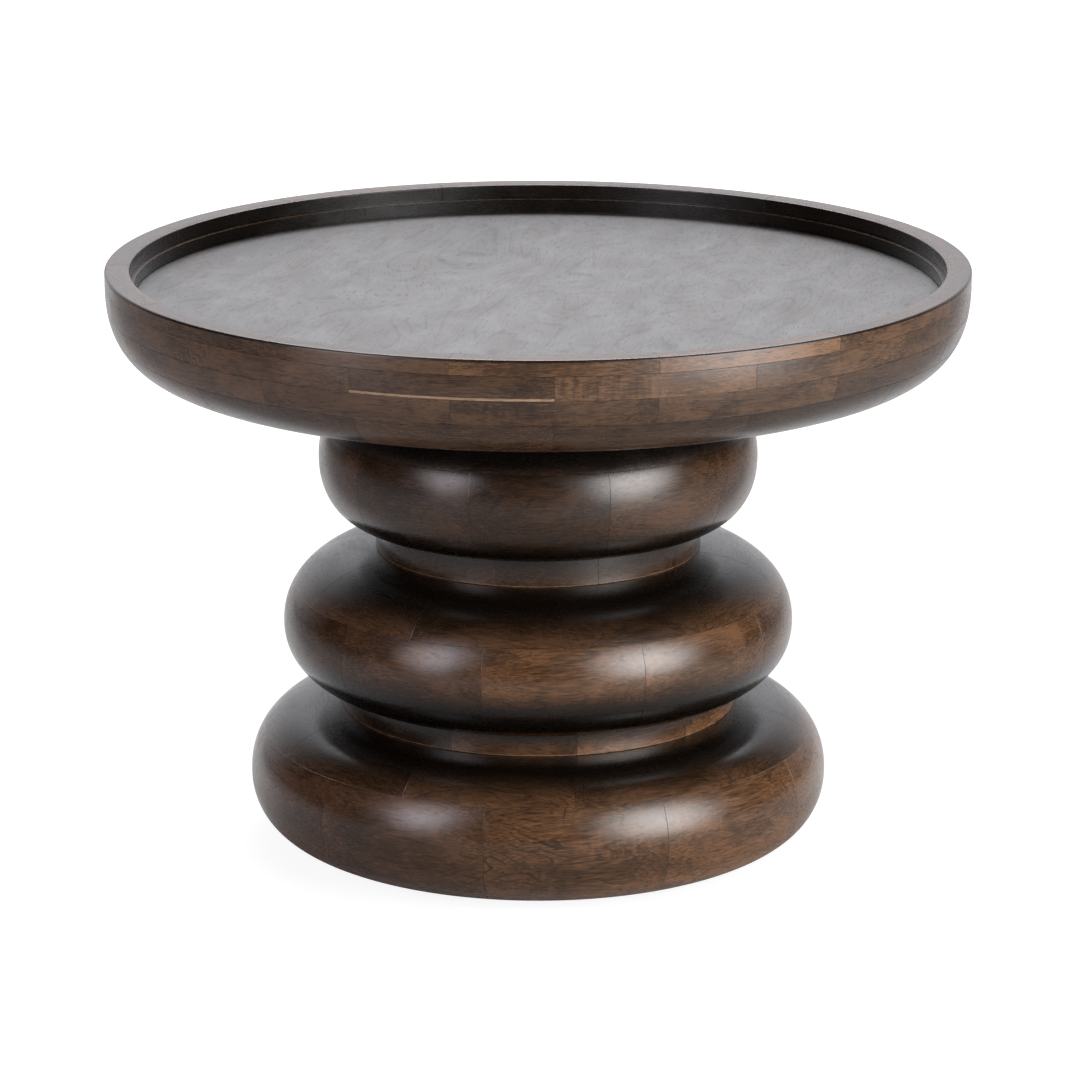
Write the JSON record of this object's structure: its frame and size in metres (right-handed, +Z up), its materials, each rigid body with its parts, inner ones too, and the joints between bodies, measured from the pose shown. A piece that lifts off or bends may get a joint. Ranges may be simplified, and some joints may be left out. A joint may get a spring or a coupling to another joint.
{
  "type": "pedestal coffee table",
  "caption": "Round dark wood coffee table: a shallow tray top on a pedestal of stacked bulging rings, all turned from brick-laid glued blocks.",
  "frame": {"origin": "on the floor under the centre of the table, at the underside of the felt pads", "axes": "+Z up along the pedestal's axis, -Y towards the front, +X to the right seen from the front"},
  "size_m": [0.66, 0.66, 0.452],
  "materials": {
    "ring_wood": "dark walnut stain under satin lacquer, turned and sanded",
    "tray_wood": "dark walnut stain under satin lacquer, turned and sanded",
    "panel_wood": "dark walnut stain under satin lacquer, flat boards",
    "inner_wood": "dark stain wiped on, no lacquer",
    "screw_steel": "zinc plated",
    "pad_felt": "pressed wool felt"
  },
  "bodies": {
    "root": {"felt_pads": "pad_felt", "base_ring_main_course": "ring_wood", "base_ring_top_course": "ring_wood", "bottom_plate": "inner_wood", "glue_blocks": "inner_wood", "lower_collar": "ring_wood", "middle_ring_main_course": "ring_wood", "middle_ring_top_course": "ring_wood", "upper_collar": "ring_wood", "upper_ring_main_course": "ring_wood", "upper_ring_top_course": "ring_wood", "neck_plate": "inner_wood", "tray_screws": "screw_steel", "tray_underboard": "inner_wood", "tray_bearers": "inner_wood", "tray_bottom_course": "tray_wood", "tray_third_course": "tray_wood", "tray_second_course": "tray_wood", "tray_rim_course": "tray_wood", "tray_panel": "panel_wood"}
  },
  "joints": []
}
